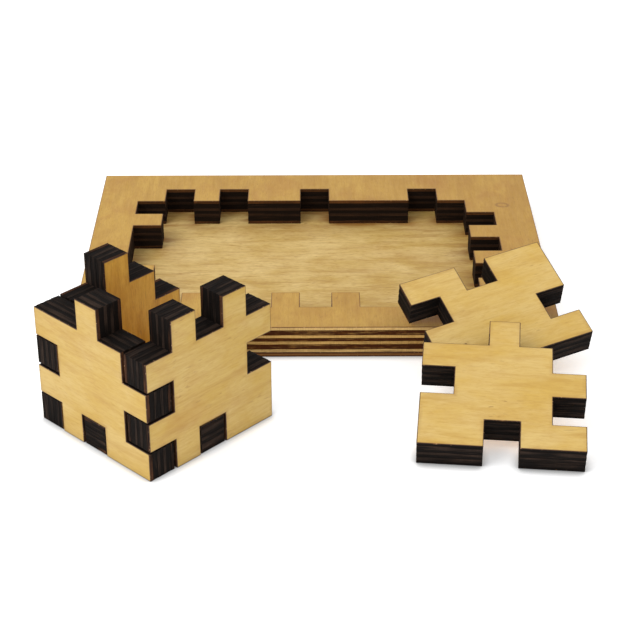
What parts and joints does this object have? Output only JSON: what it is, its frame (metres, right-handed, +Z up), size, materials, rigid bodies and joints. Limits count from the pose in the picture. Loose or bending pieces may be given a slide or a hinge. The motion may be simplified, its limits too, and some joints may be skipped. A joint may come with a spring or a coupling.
{
  "type": "wooden six-panel cube puzzle with storage tray",
  "caption": "Laser-cut plywood panel puzzle: four notched square panels stand as an open cube, two more lean beside the tray whose notched recess stores all of them flat.",
  "frame": {"origin": "centre of the whole object's bounding box in X and Y, on the table that everything stands on", "axes": "+Z up off the table, X along the tray's long side, +Y from the open cube and the leaning panels at the front towards the tray at the back"},
  "size_m": [0.1628, 0.178, 0.047],
  "materials": {
    "panel_wood": "satin birch plywood, scorched dark on every cut edge",
    "tray_frame_wood": "satin birch plywood, scorched dark inside the recess",
    "tray_base_wood": "matt thin plywood"
  },
  "bodies": {
    "tray": {"tray_base": "tray_base_wood", "tray_frame": "tray_frame_wood"},
    "back_panel": {"cube_back_panel": "panel_wood"},
    "bottom_panel": {"cube_bottom_panel": "panel_wood"},
    "left_panel": {"cube_left_panel": "panel_wood"},
    "right_panel": {"cube_right_panel": "panel_wood"},
    "loose_back": {"loose_back_panel": "panel_wood"},
    "loose_front": {"loose_front_panel": "panel_wood"}
  },
  "joints": [
    {"name": "cube_lift", "type": "slide", "parent": "tray", "child": "back_panel", "axis": [0, 0, 1], "range_m": [0, 0.06]},
    {"name": "cube_unstack", "type": "slide", "parent": "back_panel", "child": "bottom_panel", "axis": [0.7193, -0.6947, 0], "range_m": [0, 0.02]},
    {"name": "left_panel_pull", "type": "slide", "parent": "bottom_panel", "child": "left_panel", "axis": [-0.6947, -0.7193, 0], "range_m": [0, 0.02]},
    {"name": "right_panel_pull", "type": "slide", "parent": "bottom_panel", "child": "right_panel", "axis": [0.7193, -0.6947, 0], "range_m": [0, 0.02]},
    {"name": "loose_back_lift", "type": "slide", "parent": "tray", "child": "loose_back", "axis": [0, 0, 1], "range_m": [0, 0.05]},
    {"name": "loose_front_lift", "type": "slide", "parent": "loose_back", "child": "loose_front", "axis": [0, 0, 1], "range_m": [0, 0.05]}
  ]
}
